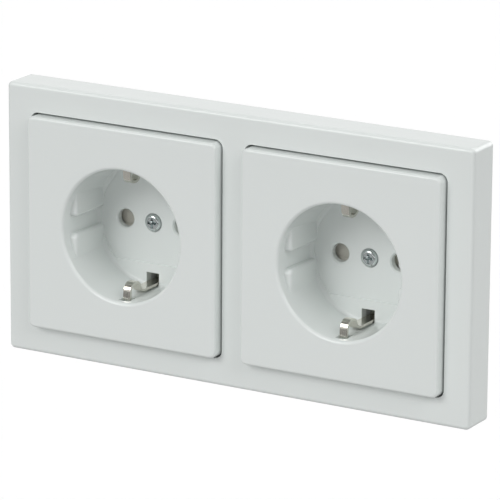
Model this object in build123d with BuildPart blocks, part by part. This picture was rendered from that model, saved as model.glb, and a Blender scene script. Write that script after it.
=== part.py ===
"""Double flush wall socket: one frame over two earthed inserts that are screwed into wall boxes.

Millimetres, +X right, +Y into the wall, +Z up. The origin is on the wall's surface behind the
middle of the frame: Y = 0 is the wall, and what stands out into the room has negative Y.
"""

import os
from math import sqrt

from build123d import *

# Frame
OPENING = 64.0
OPENING_CORNER = 2.4
FRAME_MARGIN = 8.0
FRAME_BAR = 7.0
FRAME_DEPTH = 11.0
FRAME_WALL = 2.0
FRAME_FRONT = 2.4
FRAME_CORNER = 1.4
FRAME_EDGE = 1.2
SLEEVE_WALL = 1.6
LEDGE_WIDTH = 2.6
LEDGE_THICKNESS = 1.6
LEDGE_DEPTH = 5.0
STIFFENER = 1.2
STIFFENER_SPACING = 40.0
STIFFENER_DEPTH = 5.0

# Centre plate and its well
PLATE_GAP = 0.6
PLATE_RAISE = 3.0
PLATE_WALL = 1.8
PLATE_FRONT = 2.2
PLATE_EDGE = 1.2
PLATE_WEB = 1.2
PLATE_WEB_DEPTH = 1.8
WELL_MOUTH = 39.0
WELL_TAPER = 0.7
WELL_DEPTH = 17.8
WELL_LIP = 1.0
WELL_WALL = 2.0
WELL_FILLET = 1.0
WELL_FLOOR = 2.2
BAND_HEIGHT = 24.4
BAND_STEP = 0.4
GUIDE_SET_BACK = 3.3
GUIDE_INSET = 2.65
GUIDE_GROOVE = 5.0
GUIDE_EDGE = 0.6
PIN_PITCH = 19.0
PIN_HOLE = 5.4
PIN_LEAD = 0.45

# Centre screw and its nut
SCREW_SIZE = 3.0
SCREW_GAP = 0.3
SCREW_HEAD = 5.0
SCREW_HEAD_HEIGHT = 1.6
SCREW_SINK = 0.7
SCREW_EDGE = 0.6
SCREW_TIP = 0.6
RECESS_WIDTH = 0.9
RECESS_LENGTH = 2.8
RECESS_DEPTH = 0.9
NUT_WIDTH = 5.4
NUT_HEIGHT = 2.4
NUT_GAP = 0.1
THREAD_GAP = 0.03

# Shutter that closes the pin holes, and the bush that it turns on
SHUTTER = 1.6
SHUTTER_PLAY = 0.1
SHUTTER_OVERLAP = 0.6
SHUTTER_RAMP = 1.1
SHUTTER_ARM = 3.6
SHUTTER_HUB = 1.7
SHUTTER_ROOM = 0.4
BUSH_WALL = 1.1
BUSH_GAP = 0.08

# Support ring and its rivets
RING_GAP = 0.4
RING_THICKNESS = 1.2
RING_CROP = 9.0
BOX_SCREW_EDGE = 5.3
BOX_SLOT_WIDTH = 3.6
BOX_SLOT_LENGTH = 6.6
RIVET = 2.9
RIVET_GAP = 0.05
RIVET_EDGE = 1.5
RIVET_HEAD = 5.2
RIVET_HEAD_HEIGHT = 0.9
RIVET_REACH = 5.0

# Insulating base and its rear cover
CUP_GAP = 0.2
BASE_WALL = 1.5
BASE_CORNER = 9.0
BASE_EDGE = 0.8
PARTITION = 0.8
PIN_GUIDE_GAP = 0.9
CHAMBER_DEPTH = 15.0
CHAMBER_GAP = 0.5
COVER = 2.0

# Pin contacts
STRIP = 0.8
JAW_GAP = 4.7
JAW_REACH = 7.0
JAW_START = 0.6
JAW_LENGTH = 10.0
JAW_BEND = 1.0
CONTACT_WEB = 4.5

# Earth strap and its clips
STRAP_WIDTH = 3.7
STRAP_GAP = 0.25
STRAP_BAR_LENGTH = 24.0
STRAP_BEND = 1.4
CLIP_GAP = 0.4
CLIP_WIDTH = 2.4
CLIP_TAPER = 3.0
KNOB_RISE = 2.95
KNOB_SET_BACK = 4.2
KNOB_LENGTH = 4.4
KNOB_ROUND = 2.2
KNEE_REACH = 1.0
KNEE_ROUND = 1.2
TIP_RISE = 0.1
TIP_SET_BACK = 3.8
EARTH_SLOT_HEIGHT = 3.8
EARTH_SLOT_GAP = 0.3
TIP_POCKET_GAP = 1.2
TIP_POCKET_SIDE = 0.6
TIP_POCKET_FRONT = 1.9
TIP_POCKET_LENGTH = 3.9

# Clamping springs and release buttons of the terminals
TERMINAL_WIDTH = 12.0
CLAMP_SPACE = 6.5
CLAMP = 0.5
CLAMP_BEND = 1.0
CLAMP_FOOT = 3.2
CLAMP_TIP = 0.6
CLAMP_TIP_BACK = 4.0
CLAMP_END = 1.0
CLAMP_SLIT = 2.0
WIRE_HOLE = 3.2
WIRE_OFFSET = 1.2
WIRE_WALL = 0.3
BUTTON_START = 2.6
BUTTON_THICKNESS = 2.4
BUTTON_WIDTH = 5.0
BUTTON_NOSE = 0.8
BUTTON_NOSE_LENGTH = 2.0
BUTTON_REACH = 5.8
BUTTON_PROUD = 1.4
BUTTON_COLLAR = 0.6
BUTTON_COLLAR_HEIGHT = 1.3
BUTTON_GAP = 0.2
COLLAR_GAP = 0.3

FUZZ = 0.01

# Outlines that follow from the sizes above
GANG_PITCH = OPENING + FRAME_BAR
FRAME_HEIGHT = OPENING + 2 * FRAME_MARGIN
FRAME_WIDTH = FRAME_HEIGHT + GANG_PITCH
PLATE = OPENING - 2 * PLATE_GAP
RING = GANG_PITCH - RING_GAP
MOUTH_R = WELL_MOUTH / 2
BOTTOM_R = MOUTH_R - WELL_TAPER
GUIDE_X = MOUTH_R - GUIDE_INSET
CUP_R = MOUTH_R + WELL_WALL + CUP_GAP
PIN_X = PIN_PITCH / 2
SCREW_HOLE_R = SCREW_SIZE / 2 + SCREW_GAP
BUSH_R = SCREW_HOLE_R + BUSH_WALL
VANE_R = PIN_HOLE / 2 + SHUTTER_OVERLAP
RIVET_HOLE_R = RIVET / 2 + RIVET_GAP
RIVET_PITCH = sqrt(2) * (CUP_R + RIVET_HOLE_R + RIVET_EDGE)
CONTACT_FACE_X = PIN_X + CONTACT_WEB
CHAMBER_X = CONTACT_FACE_X + CLAMP_SPACE
BASE = 2 * (max(CUP_R, CHAMBER_X) + BASE_WALL)
CLIP_Z = BOTTOM_R - CLIP_GAP - STRIP / 2
EARTH_FACE_Z = CLIP_Z - STRIP / 2
EARTH_SLOT_WIDTH = STRAP_WIDTH + 2 * STRAP_GAP
EARTH_SLOT_Z = CLIP_Z + STRIP / 2 + EARTH_SLOT_GAP - EARTH_SLOT_HEIGHT / 2

# Levels along Y that follow from the sizes above
FACE_Y = -(FRAME_DEPTH + PLATE_RAISE)
SEAT_Y = LEDGE_DEPTH - FRAME_DEPTH
FLOOR_Y = FACE_Y + WELL_DEPTH
BAND_Y = FLOOR_Y + BAND_STEP
FLOOR_REAR_Y = BAND_Y + WELL_FLOOR
SHUTTER_Y = FLOOR_REAR_Y + SHUTTER_PLAY
SHUTTER_BED_Y = SHUTTER_Y + SHUTTER + SHUTTER_PLAY
POCKET_Y = SHUTTER_BED_Y + PARTITION
BASE_REAR_Y = POCKET_Y + CHAMBER_DEPTH
COVER_REAR_Y = BASE_REAR_Y + COVER

GANGS = {"left": -GANG_PITCH / 2, "right": GANG_PITCH / 2}
POLES = {"line": -1, "neutral": 1}


def facing(y):
    """A plane at depth y that looks out into the room, with X to the right and Z up."""
    return Plane(origin=(0, y, 0), x_dir=(1, 0, 0), z_dir=(0, -1, 0))


def pole_plane(side):
    """A plane for one pole's terminal: across from the contact's face, then along Y."""
    return Plane(origin=(side * CONTACT_FACE_X, 0, 0), x_dir=(side, 0, 0), z_dir=(0, 0, side))


def earth_plane():
    """The same for the earth terminal, which lies on the lower end of the strap."""
    return Plane(origin=(0, 0, -EARTH_FACE_Z), x_dir=(0, 0, 1), z_dir=(-1, 0, 0))


def round_edge(part, radius, y):
    """The part's circular edges of this radius at this depth."""
    circles = part.edges().filter_by(GeomType.CIRCLE)
    return circles.filter_by(lambda e: abs(e.radius - radius) < FUZZ and abs(e.arc_center.Y - y) < FUZZ)


def make_frame():
    """The moulded frame: a hollow rim with a sleeve and a ledge around each opening."""
    centres = [(x, 0) for x in GANGS.values()]
    sleeve = OPENING + 2 * SLEEVE_WALL
    inner_width = FRAME_WIDTH - 2 * FRAME_WALL
    inner_height = FRAME_HEIGHT - 2 * FRAME_WALL
    hollow_depth = FRAME_DEPTH - FRAME_FRONT
    ledge_rear = SEAT_Y + LEDGE_THICKNESS
    with BuildPart() as frame:
        with BuildSketch(facing(0)):
            RectangleRounded(FRAME_WIDTH, FRAME_HEIGHT, FRAME_CORNER)
        extrude(amount=FRAME_DEPTH)
        fillet(frame.faces().sort_by(Axis.Y)[0].edges(), FRAME_EDGE)
        with BuildSketch(facing(0)):
            Rectangle(inner_width, inner_height)
        extrude(amount=hollow_depth, mode=Mode.SUBTRACT)
        with BuildSketch(facing(ledge_rear)):
            with Locations(*centres):
                RectangleRounded(sleeve, sleeve, OPENING_CORNER + SLEEVE_WALL)
        extrude(amount=hollow_depth + ledge_rear)
        with BuildSketch(facing(-hollow_depth)):
            with Locations(*centres):
                with GridLocations(STIFFENER_SPACING, (inner_height + sleeve) / 2, 2, 2):
                    Rectangle(STIFFENER, (inner_height - sleeve) / 2)
        extrude(amount=-STIFFENER_DEPTH)
        with BuildSketch(facing(-FRAME_DEPTH)):
            with Locations(*centres):
                RectangleRounded(OPENING, OPENING, OPENING_CORNER)
        extrude(amount=-LEDGE_DEPTH, mode=Mode.SUBTRACT)
        with BuildSketch(facing(SEAT_Y)):
            with Locations(*centres):
                Rectangle(OPENING - 2 * LEDGE_WIDTH, OPENING - 2 * LEDGE_WIDTH)
        extrude(amount=-LEDGE_THICKNESS, mode=Mode.SUBTRACT)
    return frame.part


def make_centre_plate():
    """The cover that is seen: a raised square cap with the plug's well moulded into it."""
    skirt = SEAT_Y - FACE_Y
    hollow = PLATE - 2 * PLATE_WALL
    floor_reach = FLOOR_REAR_Y - FLOOR_Y
    wall_middle = WELL_MOUTH + WELL_WALL
    guide_depth = BAND_Y - FACE_Y - GUIDE_SET_BACK
    pocket_rear = FACE_Y + TIP_SET_BACK - TIP_POCKET_FRONT + TIP_POCKET_LENGTH
    pocket_depth = TIP_RISE + TIP_POCKET_GAP
    with BuildPart() as plate:
        with BuildSketch(facing(FACE_Y)):
            RectangleRounded(PLATE, PLATE, OPENING_CORNER - PLATE_GAP)
        extrude(amount=-skirt)
        fillet(plate.faces().sort_by(Axis.Y)[0].edges(), PLATE_EDGE)
        with BuildSketch(facing(SEAT_Y)):
            Rectangle(hollow, hollow)
        extrude(amount=skirt - PLATE_FRONT, mode=Mode.SUBTRACT)
        with BuildSketch(facing(FACE_Y + PLATE_FRONT)):
            Rectangle(hollow, PLATE_WEB)
            Rectangle(PLATE_WEB, hollow)
        extrude(amount=-PLATE_WEB_DEPTH)
        with BuildSketch(Plane.XY):
            with BuildLine():
                Polyline(
                    (0, FACE_Y + PLATE_FRONT / 2),
                    (MOUTH_R + WELL_WALL, FACE_Y + PLATE_FRONT / 2),
                    (BOTTOM_R + WELL_WALL, FLOOR_REAR_Y),
                    (0, FLOOR_REAR_Y),
                    close=True,
                )
            make_face()
        revolve(axis=Axis.Y)
        chamfer(round_edge(plate, BOTTOM_R + WELL_WALL, FLOOR_REAR_Y), WELL_FILLET)
        with BuildSketch(Plane.XY):
            with BuildLine():
                Polyline(
                    (0, FACE_Y),
                    (MOUTH_R, FACE_Y),
                    (BOTTOM_R, FLOOR_Y),
                    (0, FLOOR_Y),
                    close=True,
                )
            make_face()
        revolve(axis=Axis.Y, mode=Mode.SUBTRACT)
        fillet(round_edge(plate, MOUTH_R, FACE_Y), WELL_LIP)
        fillet(round_edge(plate, BOTTOM_R, FLOOR_Y), WELL_FILLET)
        with BuildSketch(facing(FLOOR_Y)):
            Circle(BOTTOM_R - WELL_FILLET)
            Rectangle(2 * BOTTOM_R, BAND_HEIGHT, mode=Mode.INTERSECT)
        extrude(amount=-BAND_STEP, mode=Mode.SUBTRACT)
        with BuildSketch(facing(BAND_Y)):
            Circle(wall_middle / 2)
            Rectangle(2 * GUIDE_X, wall_middle, mode=Mode.SUBTRACT)
            Rectangle(wall_middle, GUIDE_GROOVE, mode=Mode.SUBTRACT)
        extrude(amount=guide_depth)
        guide_edges = plate.edges().filter_by(GeomType.LINE).filter_by(
            lambda e: abs(abs(e.center().X) - GUIDE_X) < FUZZ and e.center().Y < FLOOR_Y - WELL_FILLET
        )
        fillet(guide_edges, GUIDE_EDGE)
        with BuildSketch(facing(BAND_Y)):
            with Locations((PIN_X, 0), (-PIN_X, 0)):
                Circle(PIN_HOLE / 2)
            Circle(SCREW_HOLE_R)
        extrude(amount=-WELL_FLOOR, mode=Mode.SUBTRACT)
        chamfer(round_edge(plate, PIN_HOLE / 2, BAND_Y), PIN_LEAD)
        with BuildSketch(facing(BAND_Y)):
            Circle(SCREW_HEAD / 2 + SCREW_GAP)
        extrude(amount=-SCREW_SINK, mode=Mode.SUBTRACT)
        with BuildSketch(facing(FLOOR_Y - WELL_FILLET)):
            with Locations((0, EARTH_SLOT_Z), (0, -EARTH_SLOT_Z)):
                Rectangle(EARTH_SLOT_WIDTH, EARTH_SLOT_HEIGHT)
        extrude(amount=-(floor_reach + WELL_FILLET), mode=Mode.SUBTRACT)
        with BuildSketch(facing(pocket_rear)):
            with Locations((0, MOUTH_R), (0, -MOUTH_R)):
                Rectangle(CLIP_WIDTH + 2 * TIP_POCKET_SIDE, 2 * pocket_depth)
        extrude(amount=TIP_POCKET_LENGTH, mode=Mode.SUBTRACT)
    return plate.part


def make_centre_screw():
    """The screw that draws the centre plate onto the base."""
    head_y = BAND_Y + SCREW_SINK - SCREW_HEAD_HEIGHT
    tip_y = POCKET_Y + STRIP + NUT_HEIGHT + SCREW_TIP
    with BuildPart() as screw:
        with BuildSketch(facing(head_y)):
            Circle(SCREW_HEAD / 2)
        extrude(amount=-SCREW_HEAD_HEIGHT)
        chamfer(round_edge(screw, SCREW_HEAD / 2, head_y), SCREW_EDGE)
        with BuildSketch(facing(head_y)):
            Circle(SCREW_SIZE / 2)
        extrude(amount=head_y - tip_y)
        chamfer(round_edge(screw, SCREW_SIZE / 2, tip_y), SCREW_TIP / 2)
        with BuildSketch(facing(head_y)):
            Rectangle(RECESS_LENGTH, RECESS_WIDTH)
            Rectangle(RECESS_WIDTH, RECESS_LENGTH)
        extrude(amount=-RECESS_DEPTH, mode=Mode.SUBTRACT)
    return screw.part


def make_screw_nut():
    """The square nut behind the earth strap, kept from turning by its channel."""
    with BuildPart() as nut:
        with BuildSketch(facing(POCKET_Y + STRIP)):
            Rectangle(NUT_WIDTH, NUT_WIDTH)
            Circle(SCREW_SIZE / 2 + THREAD_GAP, mode=Mode.SUBTRACT)
        extrude(amount=-NUT_HEIGHT)
    return nut.part


def make_shutter():
    """The shutter on the base's bush: two plug pins together push its ramps aside, one alone does not."""
    with BuildPart() as shutter:
        with BuildSketch(facing(SHUTTER_Y)):
            Circle(BUSH_R + SHUTTER_HUB)
            Rectangle(PIN_PITCH, SHUTTER_ARM)
            with Locations((PIN_X, 0), (-PIN_X, 0)):
                Circle(VANE_R)
            Circle(BUSH_R + BUSH_GAP, mode=Mode.SUBTRACT)
        extrude(amount=-SHUTTER)
        for side in POLES.values():
            with BuildSketch(Plane.YZ.offset(side * PIN_X)):
                with BuildLine():
                    Polyline(
                        (SHUTTER_Y, side * VANE_R),
                        (SHUTTER_Y, -side * VANE_R),
                        (SHUTTER_Y + SHUTTER_RAMP, -side * VANE_R),
                        close=True,
                    )
                make_face()
            extrude(amount=VANE_R, both=True, mode=Mode.SUBTRACT)
    return shutter.part


def make_support_ring():
    """The steel plate that lies on the wall; its level slots let the gangs meet their pitch."""
    reach = RING / 2 - BOX_SCREW_EDGE
    with BuildPart() as ring:
        with BuildSketch(facing(0)) as outline:
            Rectangle(RING, RING)
            chamfer(outline.vertices(), RING_CROP)
            Circle(CUP_R, mode=Mode.SUBTRACT)
            with Locations((reach, 0), (-reach, 0), (0, reach), (0, -reach)):
                SlotOverall(BOX_SLOT_LENGTH, BOX_SLOT_WIDTH, mode=Mode.SUBTRACT)
            with GridLocations(RIVET_PITCH, RIVET_PITCH, 2, 2):
                Circle(RIVET_HOLE_R, mode=Mode.SUBTRACT)
        extrude(amount=RING_THICKNESS)
    return ring.part


def make_ring_rivets():
    """Four rivets that join the ring to the base."""
    head_y = -(RING_THICKNESS + RIVET_HEAD_HEIGHT)
    with BuildPart() as rivets:
        with BuildSketch(facing(head_y)):
            with GridLocations(RIVET_PITCH, RIVET_PITCH, 2, 2):
                Circle(RIVET_HEAD / 2)
        extrude(amount=-RIVET_HEAD_HEIGHT)
        chamfer(round_edge(rivets, RIVET_HEAD / 2, head_y), RIVET_HEAD_HEIGHT / 2)
        with BuildSketch(facing(-RING_THICKNESS)):
            with GridLocations(RIVET_PITCH, RIVET_PITCH, 2, 2):
                Circle(RIVET / 2)
        extrude(amount=-(RING_THICKNESS + RIVET_REACH))
    return rivets.part


def make_base():
    """The insulating base: a cup for the well, the shutter's bed, and open chambers behind a partition."""
    pole_start = CONTACT_FACE_X - STRIP - JAW_REACH - CHAMBER_GAP
    pole_middle = (pole_start + CHAMBER_X) / 2
    chamber_width = TERMINAL_WIDTH + 2 * CHAMBER_GAP
    channel = NUT_WIDTH + 2 * NUT_GAP
    earth_middle = (CLAMP_SPACE - STRIP) / 2 - EARTH_FACE_Z
    with BuildPart() as base:
        with BuildSketch(facing(0)):
            RectangleRounded(BASE, BASE, BASE_CORNER)
        extrude(amount=-BASE_REAR_Y)
        with BuildSketch(facing(0)):
            Circle(CUP_R)
        extrude(amount=-FLOOR_REAR_Y, mode=Mode.SUBTRACT)
        with BuildSketch(facing(FLOOR_REAR_Y)):
            Circle(PIN_X + VANE_R + SHUTTER_ROOM)
            Circle(BUSH_R, mode=Mode.SUBTRACT)
        extrude(amount=FLOOR_REAR_Y - SHUTTER_BED_Y, mode=Mode.SUBTRACT)
        with BuildSketch(facing(BASE_REAR_Y)):
            with Locations((pole_middle, 0), (-pole_middle, 0)):
                Rectangle(CHAMBER_X - pole_start, chamber_width)
            Rectangle(channel, 2 * CLIP_Z + STRIP)
            with Locations((0, earth_middle)):
                Rectangle(chamber_width, CLAMP_SPACE + STRIP)
        extrude(amount=CHAMBER_DEPTH, mode=Mode.SUBTRACT)
        with BuildSketch(facing(FLOOR_REAR_Y)):
            with Locations((PIN_X, 0), (-PIN_X, 0)):
                Circle(PIN_HOLE / 2 + PIN_GUIDE_GAP)
            Circle(SCREW_HOLE_R)
            with Locations((0, EARTH_SLOT_Z), (0, -EARTH_SLOT_Z)):
                Rectangle(EARTH_SLOT_WIDTH, EARTH_SLOT_HEIGHT)
        extrude(amount=FLOOR_REAR_Y - POCKET_Y, mode=Mode.SUBTRACT)
        with BuildSketch(facing(0)):
            with GridLocations(RIVET_PITCH, RIVET_PITCH, 2, 2):
                Circle(RIVET_HOLE_R)
        extrude(amount=-RIVET_REACH, mode=Mode.SUBTRACT)
    return base.part


def terminal_planes():
    """The planes of an insert's three terminals, by name."""
    planes = {name: pole_plane(side) for name, side in POLES.items()}
    planes["earth"] = earth_plane()
    return planes


def make_rear_cover():
    """The cover that closes the chambers, with the wires' entries and the buttons' windows."""
    window = BUTTON_THICKNESS + 2 * BUTTON_GAP
    window_middle = BUTTON_START + BUTTON_THICKNESS / 2
    window_width = BUTTON_WIDTH + 2 * BUTTON_GAP
    wire_w = window_width / 2 + WIRE_WALL + WIRE_HOLE / 2
    with BuildPart() as cover:
        with BuildSketch(facing(BASE_REAR_Y)):
            RectangleRounded(BASE, BASE, BASE_CORNER)
        extrude(amount=-COVER)
        chamfer(cover.faces().sort_by(Axis.Y)[-1].edges(), BASE_EDGE)
        for plane in terminal_planes().values():
            across = Plane(origin=plane.origin, x_dir=plane.x_dir, z_dir=(0, -1, 0))
            with BuildSketch(across.offset(-BASE_REAR_Y)):
                with Locations((window_middle, 0)):
                    Rectangle(window, window_width)
                with Locations((WIRE_OFFSET, wire_w), (WIRE_OFFSET, -wire_w)):
                    Circle(WIRE_HOLE / 2)
            extrude(amount=-COVER, mode=Mode.SUBTRACT)
    return cover.part


def make_contact():
    """A brass pin contact: two jaws on a web, whose outer face is the terminal's bar."""
    web_x = CONTACT_FACE_X - STRIP / 2
    jaw_z = (JAW_GAP + STRIP) / 2
    jaw_x = web_x - JAW_REACH
    with BuildPart() as contact:
        with BuildSketch(facing(POCKET_Y + JAW_START)):
            with BuildLine() as jaws:
                FilletPolyline(
                    (jaw_x, jaw_z),
                    (web_x, jaw_z),
                    (web_x, -jaw_z),
                    (jaw_x, -jaw_z),
                    radius=JAW_BEND,
                )
            trace(jaws.line, line_width=STRIP)
        extrude(amount=-JAW_LENGTH)
        with BuildSketch(facing(POCKET_Y)):
            with Locations((web_x, 0)):
                Rectangle(STRIP, TERMINAL_WIDTH)
        extrude(amount=POCKET_Y - BASE_REAR_Y)
    return contact.part


def make_earth_strap():
    """One sprung strip from clip to clip, with the earth terminal's bar at its lower end."""
    knob_y = FACE_Y + KNOB_SET_BACK
    knee_y = knob_y + KNOB_LENGTH + KNEE_REACH
    tip_y = FACE_Y + TIP_SET_BACK
    bar_y = POCKET_Y + STRIP / 2
    upper = [
        (tip_y, MOUTH_R + TIP_RISE),
        (knob_y, CLIP_Z - KNOB_RISE),
        (knob_y + KNOB_LENGTH, CLIP_Z - KNOB_RISE),
        (knee_y, CLIP_Z),
        (bar_y, CLIP_Z),
    ]
    lower = [(y, -z) for y, z in reversed(upper)]
    bends = [KNOB_ROUND, KNOB_ROUND, KNEE_ROUND, STRAP_BEND]
    with BuildPart() as strap:
        with BuildSketch(Plane.YZ):
            with BuildLine() as path:
                FilletPolyline(*upper, *lower, radius=bends + bends[::-1])
            trace(path.line, line_width=STRIP)
        extrude(amount=STRAP_WIDTH / 2, both=True)
        with BuildSketch():
            for side in (-1, 1):
                with BuildLine():
                    Polyline(
                        (side * CLIP_WIDTH / 2, FACE_Y),
                        (side * CLIP_WIDTH / 2, knee_y),
                        (side * STRAP_WIDTH / 2, knee_y + CLIP_TAPER),
                        (side * STRAP_WIDTH, knee_y + CLIP_TAPER),
                        (side * STRAP_WIDTH, FACE_Y),
                        close=True,
                    )
                make_face()
        extrude(amount=MOUTH_R + WELL_WALL, both=True, mode=Mode.SUBTRACT)
        with BuildSketch(facing(POCKET_Y)):
            SlotOverall(STRAP_BAR_LENGTH, NUT_WIDTH, rotation=90)
        extrude(amount=-STRIP)
        with BuildSketch(facing(POCKET_Y)):
            Circle(SCREW_HOLE_R)
        extrude(amount=-STRIP, mode=Mode.SUBTRACT)
        with BuildSketch(facing(POCKET_Y)):
            with Locations((0, -CLIP_Z)):
                Rectangle(TERMINAL_WIDTH, STRIP)
        extrude(amount=POCKET_Y - BASE_REAR_Y)
    return strap.part


def make_clamp(plane):
    """A folded leaf spring: its back lies on the chamber's wall, its two leaves press the wires."""
    back = CLAMP_SPACE - CLAMP / 2
    foot_y = POCKET_Y + CLAMP_FOOT
    with BuildPart() as clamp:
        with BuildSketch(plane):
            with BuildLine() as path:
                FilletPolyline(
                    (back, BASE_REAR_Y - CLAMP_END),
                    (back, foot_y),
                    (CLAMP_TIP, BASE_REAR_Y - CLAMP_TIP_BACK),
                    radius=CLAMP_BEND,
                )
            trace(path.line, line_width=CLAMP)
        extrude(amount=TERMINAL_WIDTH / 2, both=True)
        with BuildSketch(plane):
            with Locations((0, foot_y)):
                Rectangle(back - 2 * CLAMP_BEND, BASE_REAR_Y, align=(Align.MIN, Align.MIN))
        extrude(amount=CLAMP_SLIT / 2, both=True, mode=Mode.SUBTRACT)
    return clamp.part


def make_release(plane):
    """The button that pushes the leaves off the wires, held behind its window by a collar."""
    nose_y = BASE_REAR_Y - BUTTON_REACH
    end = BUTTON_START + BUTTON_THICKNESS
    collar_y = BASE_REAR_Y - COLLAR_GAP - BUTTON_COLLAR_HEIGHT / 2
    with BuildPart() as release:
        with BuildSketch(plane):
            with BuildLine():
                Polyline(
                    (BUTTON_START, nose_y),
                    (BUTTON_START + BUTTON_NOSE, nose_y),
                    (end, nose_y + BUTTON_NOSE_LENGTH),
                    (end, COVER_REAR_Y + BUTTON_PROUD),
                    (BUTTON_START, COVER_REAR_Y + BUTTON_PROUD),
                    close=True,
                )
            make_face()
        extrude(amount=BUTTON_WIDTH / 2, both=True)
        with BuildSketch(plane):
            with Locations((BUTTON_START + BUTTON_THICKNESS / 2, collar_y)):
                Rectangle(BUTTON_THICKNESS + 2 * BUTTON_COLLAR, BUTTON_COLLAR_HEIGHT)
        extrude(amount=BUTTON_WIDTH / 2 + BUTTON_COLLAR, both=True)
    return release.part


def make_insert():
    """Every piece of one insert, on the middle line of its gang, by name."""
    pieces = {
        "centre_plate": make_centre_plate(),
        "centre_screw": make_centre_screw(),
        "screw_nut": make_screw_nut(),
        "shutter": make_shutter(),
        "support_ring": make_support_ring(),
        "ring_rivets": make_ring_rivets(),
        "base": make_base(),
        "rear_cover": make_rear_cover(),
        "earth_strap": make_earth_strap(),
    }
    contact = make_contact()
    pieces["neutral_contact"] = contact
    pieces["line_contact"] = contact.rotate(Axis.Y, 180)
    for name, plane in terminal_planes().items():
        pieces[name + "_clamp"] = make_clamp(plane)
        pieces[name + "_release"] = make_release(plane)
    return pieces


def write(part, node):
    """Labels a finished piece and writes it as one file."""
    part.label = node
    export_step(part, "parts/" + node + ".step")


os.makedirs("parts", exist_ok=True)
write(make_frame(), "frame")
insert = make_insert()
for gang, gang_x in GANGS.items():
    for piece, part in insert.items():
        write(part.moved(Location((gang_x, 0, 0))), gang + "_" + piece)
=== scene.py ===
"""Dresses a double flush wall socket: frame, plates, earth clips and the metalwork behind."""

from math import cos, hypot, pi, radians, sin, tan

import bpy
from mathutils import Matrix, Vector


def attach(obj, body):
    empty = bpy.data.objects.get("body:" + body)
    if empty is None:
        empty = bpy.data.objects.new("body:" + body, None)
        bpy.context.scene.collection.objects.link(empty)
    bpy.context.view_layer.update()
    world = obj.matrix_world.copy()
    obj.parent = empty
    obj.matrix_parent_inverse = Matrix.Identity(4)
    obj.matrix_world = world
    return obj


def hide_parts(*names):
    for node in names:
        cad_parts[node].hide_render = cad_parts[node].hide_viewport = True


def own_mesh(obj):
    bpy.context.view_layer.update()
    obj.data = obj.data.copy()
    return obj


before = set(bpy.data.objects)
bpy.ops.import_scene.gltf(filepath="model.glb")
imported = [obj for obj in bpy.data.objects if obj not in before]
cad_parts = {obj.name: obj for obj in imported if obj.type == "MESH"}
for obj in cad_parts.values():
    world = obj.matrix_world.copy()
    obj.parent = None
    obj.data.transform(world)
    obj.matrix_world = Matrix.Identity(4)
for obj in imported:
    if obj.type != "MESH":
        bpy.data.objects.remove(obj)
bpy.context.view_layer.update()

bl_info = {
    "name": "Double Wall Socket",
    "version": (1, 0, 0),
    "blender": (4, 5, 0),
    "location": "View3D > Sidebar > Socket",
    "description": "Models and finishes a double flush wall socket around its solids",
    "category": "Object",
}

SOCKET_BODY = "socket"
FINISHES = {}

# Sizes below are millimetres, and Blender works in metres
MM = 0.001

# Middle of each gang along X, and degrees that turn a contact or the earth terminal to its place
GANGS = {"left": -35.5, "right": 35.5}
POLES = {"line": 180.0, "neutral": 0.0}
EARTH_TURN = -90.0

# Sides of a round, and segments of a rounded edge
ROUND = 128
SCREW_ROUND = 64
SMALL_ROUND = 48
CHAMFER = 1
SMALL_BEVEL = 5
BEVEL = 6
FINE_BEVEL = 8
SLOT_BEVEL = 10
FOLD_BEVEL = 10
BROAD_BEVEL = 12

# Cutters run past a face, and joined pieces lap into each other
PAST = 1.0
LAP = 0.5

# Closeness of two places that count as one
SLACK = 0.02
TOUCH = 0.01
MERGE = 0.002
SLIVER = 0.001

# Shading: degrees between faces at a sharp edge and on a smooth one, and the weight of large faces
CREASE = 40
SMOOTH = 35
FACE_WEIGHT = 80

# Share of fine detail in every noise texture
NOISE_ROUGHNESS = 0.55

# Levels along Y, from the plates' face to the back of the covers
FACE_Y = -14.0
FRAME_Y = -11.0
SEAT_Y = -6.0
LEDGE_REAR_Y = -4.4
FLOOR_Y = 3.8
BAND_Y = 4.2
FLOOR_REAR_Y = 6.4
SHUTTER_Y = (6.5, 8.1)
SHUTTER_BED_Y = 8.2
CHAMBER_Y = 9.0
BASE_REAR_Y = 24.0
COVER_REAR_Y = 26.0

# Frame
FRAME_HALF = (75.5, 40.0)
FRAME_WALL = 2.0
FRAME_FRONT = 2.4
FRAME_CORNER = 1.4
FRAME_EDGE = 1.2
OPENING = 32.0
OPENING_CORNER = 2.4
SLEEVE = 33.6
LEDGE_OPENING = 29.4
STIFFENER = 0.6
STIFFENER_X = 20.0
STIFFENER_REAR_Y = -3.6

# Centre plate and its well
PLATE = 31.4
PLATE_CORNER = 1.8
PLATE_EDGE = 0.8
PLATE_WALL = 1.8
PLATE_FRONT = 2.2
WEB = 0.6
WEB_DEPTH = 1.8
MOUTH_R = 19.5
BOTTOM_R = 18.8
WELL_WALL = 2.0
WELL_LIP = 1.0
WELL_FILLET = 1.0
BAND_HALF = 12.2
BAND_INSET = 1.2
GUIDE_X = 16.85
GUIDE_FRONT_Y = -10.7
GROOVE_HALF = 2.5
GUIDE_CORNER = 1.6
GUIDE_EDGE = 1.0
GUIDE_ROOT = 1.6
GUIDE_ROOT_Y = 5.0
PIN_X = 9.5
PIN_R = 2.7
PIN_LEAD = 0.45
PIN_GUIDE_R = 3.6
SCREW_R = 1.5
SCREW_HOLE_R = 1.8
SCREW_HEAD_R = 2.5
SCREW_HEAD_Y = 3.3
SCREW_SEAT_Y = 4.9
SCREW_TIP_Y = 12.8
SCREW_EDGE = 0.9
SCREW_SEAT_GAP = 0.3
THREAD_GAP = 0.03
RECESS_HALF = (1.5, 0.4)
RECESS_DEPTH = 1.3
RECESS_CORE_R = (0.8, 0.7)
RECESS_CORE_DEPTH = 3.4
EARTH_SLOT_HALF = 2.1
EARTH_SLOT_Z = (14.9, 18.7)
POCKET_HALF = 1.8
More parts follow.
